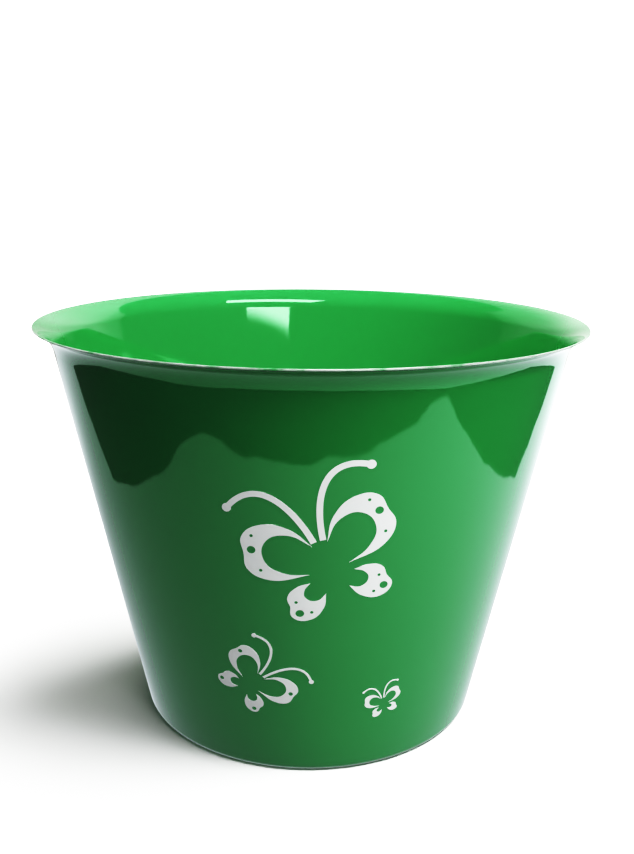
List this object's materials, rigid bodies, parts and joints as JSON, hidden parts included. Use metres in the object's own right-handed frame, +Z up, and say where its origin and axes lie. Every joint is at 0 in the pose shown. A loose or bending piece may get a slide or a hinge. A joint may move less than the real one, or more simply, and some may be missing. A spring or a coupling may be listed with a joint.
{
  "type": "florist bucket",
  "caption": "Round tapered flower bucket with a flared lip, glossy green, with white butterfly film motifs on its front wall.",
  "frame": {"origin": "centre of the resting plane under the base", "axes": "+Z up along the bucket's axis of turning, -Y towards the front with the motifs, +X to the right of someone who faces the front"},
  "size_m": [0.3, 0.3, 0.222],
  "materials": {
    "green_lacquer": "high-gloss green lacquer over sheet metal, mirror-like at a low angle",
    "white_film": "satin white applied film"
  },
  "bodies": {
    "root": {"bucket_body": "green_lacquer", "large_antenna_left": "white_film", "large_antenna_right": "white_film", "large_forewing_left": "white_film", "large_forewing_right": "white_film", "large_hindwing_left": "white_film", "large_hindwing_right": "white_film", "medium_antenna_left": "white_film", "medium_antenna_right": "white_film", "medium_forewing_left": "white_film", "medium_forewing_right": "white_film", "medium_hindwing_left": "white_film", "medium_hindwing_right": "white_film", "small_antenna_left": "white_film", "small_antenna_right": "white_film", "small_forewing_left": "white_film", "small_forewing_right": "white_film", "small_hindwing_left": "white_film", "small_hindwing_right": "white_film"}
  },
  "joints": []
}
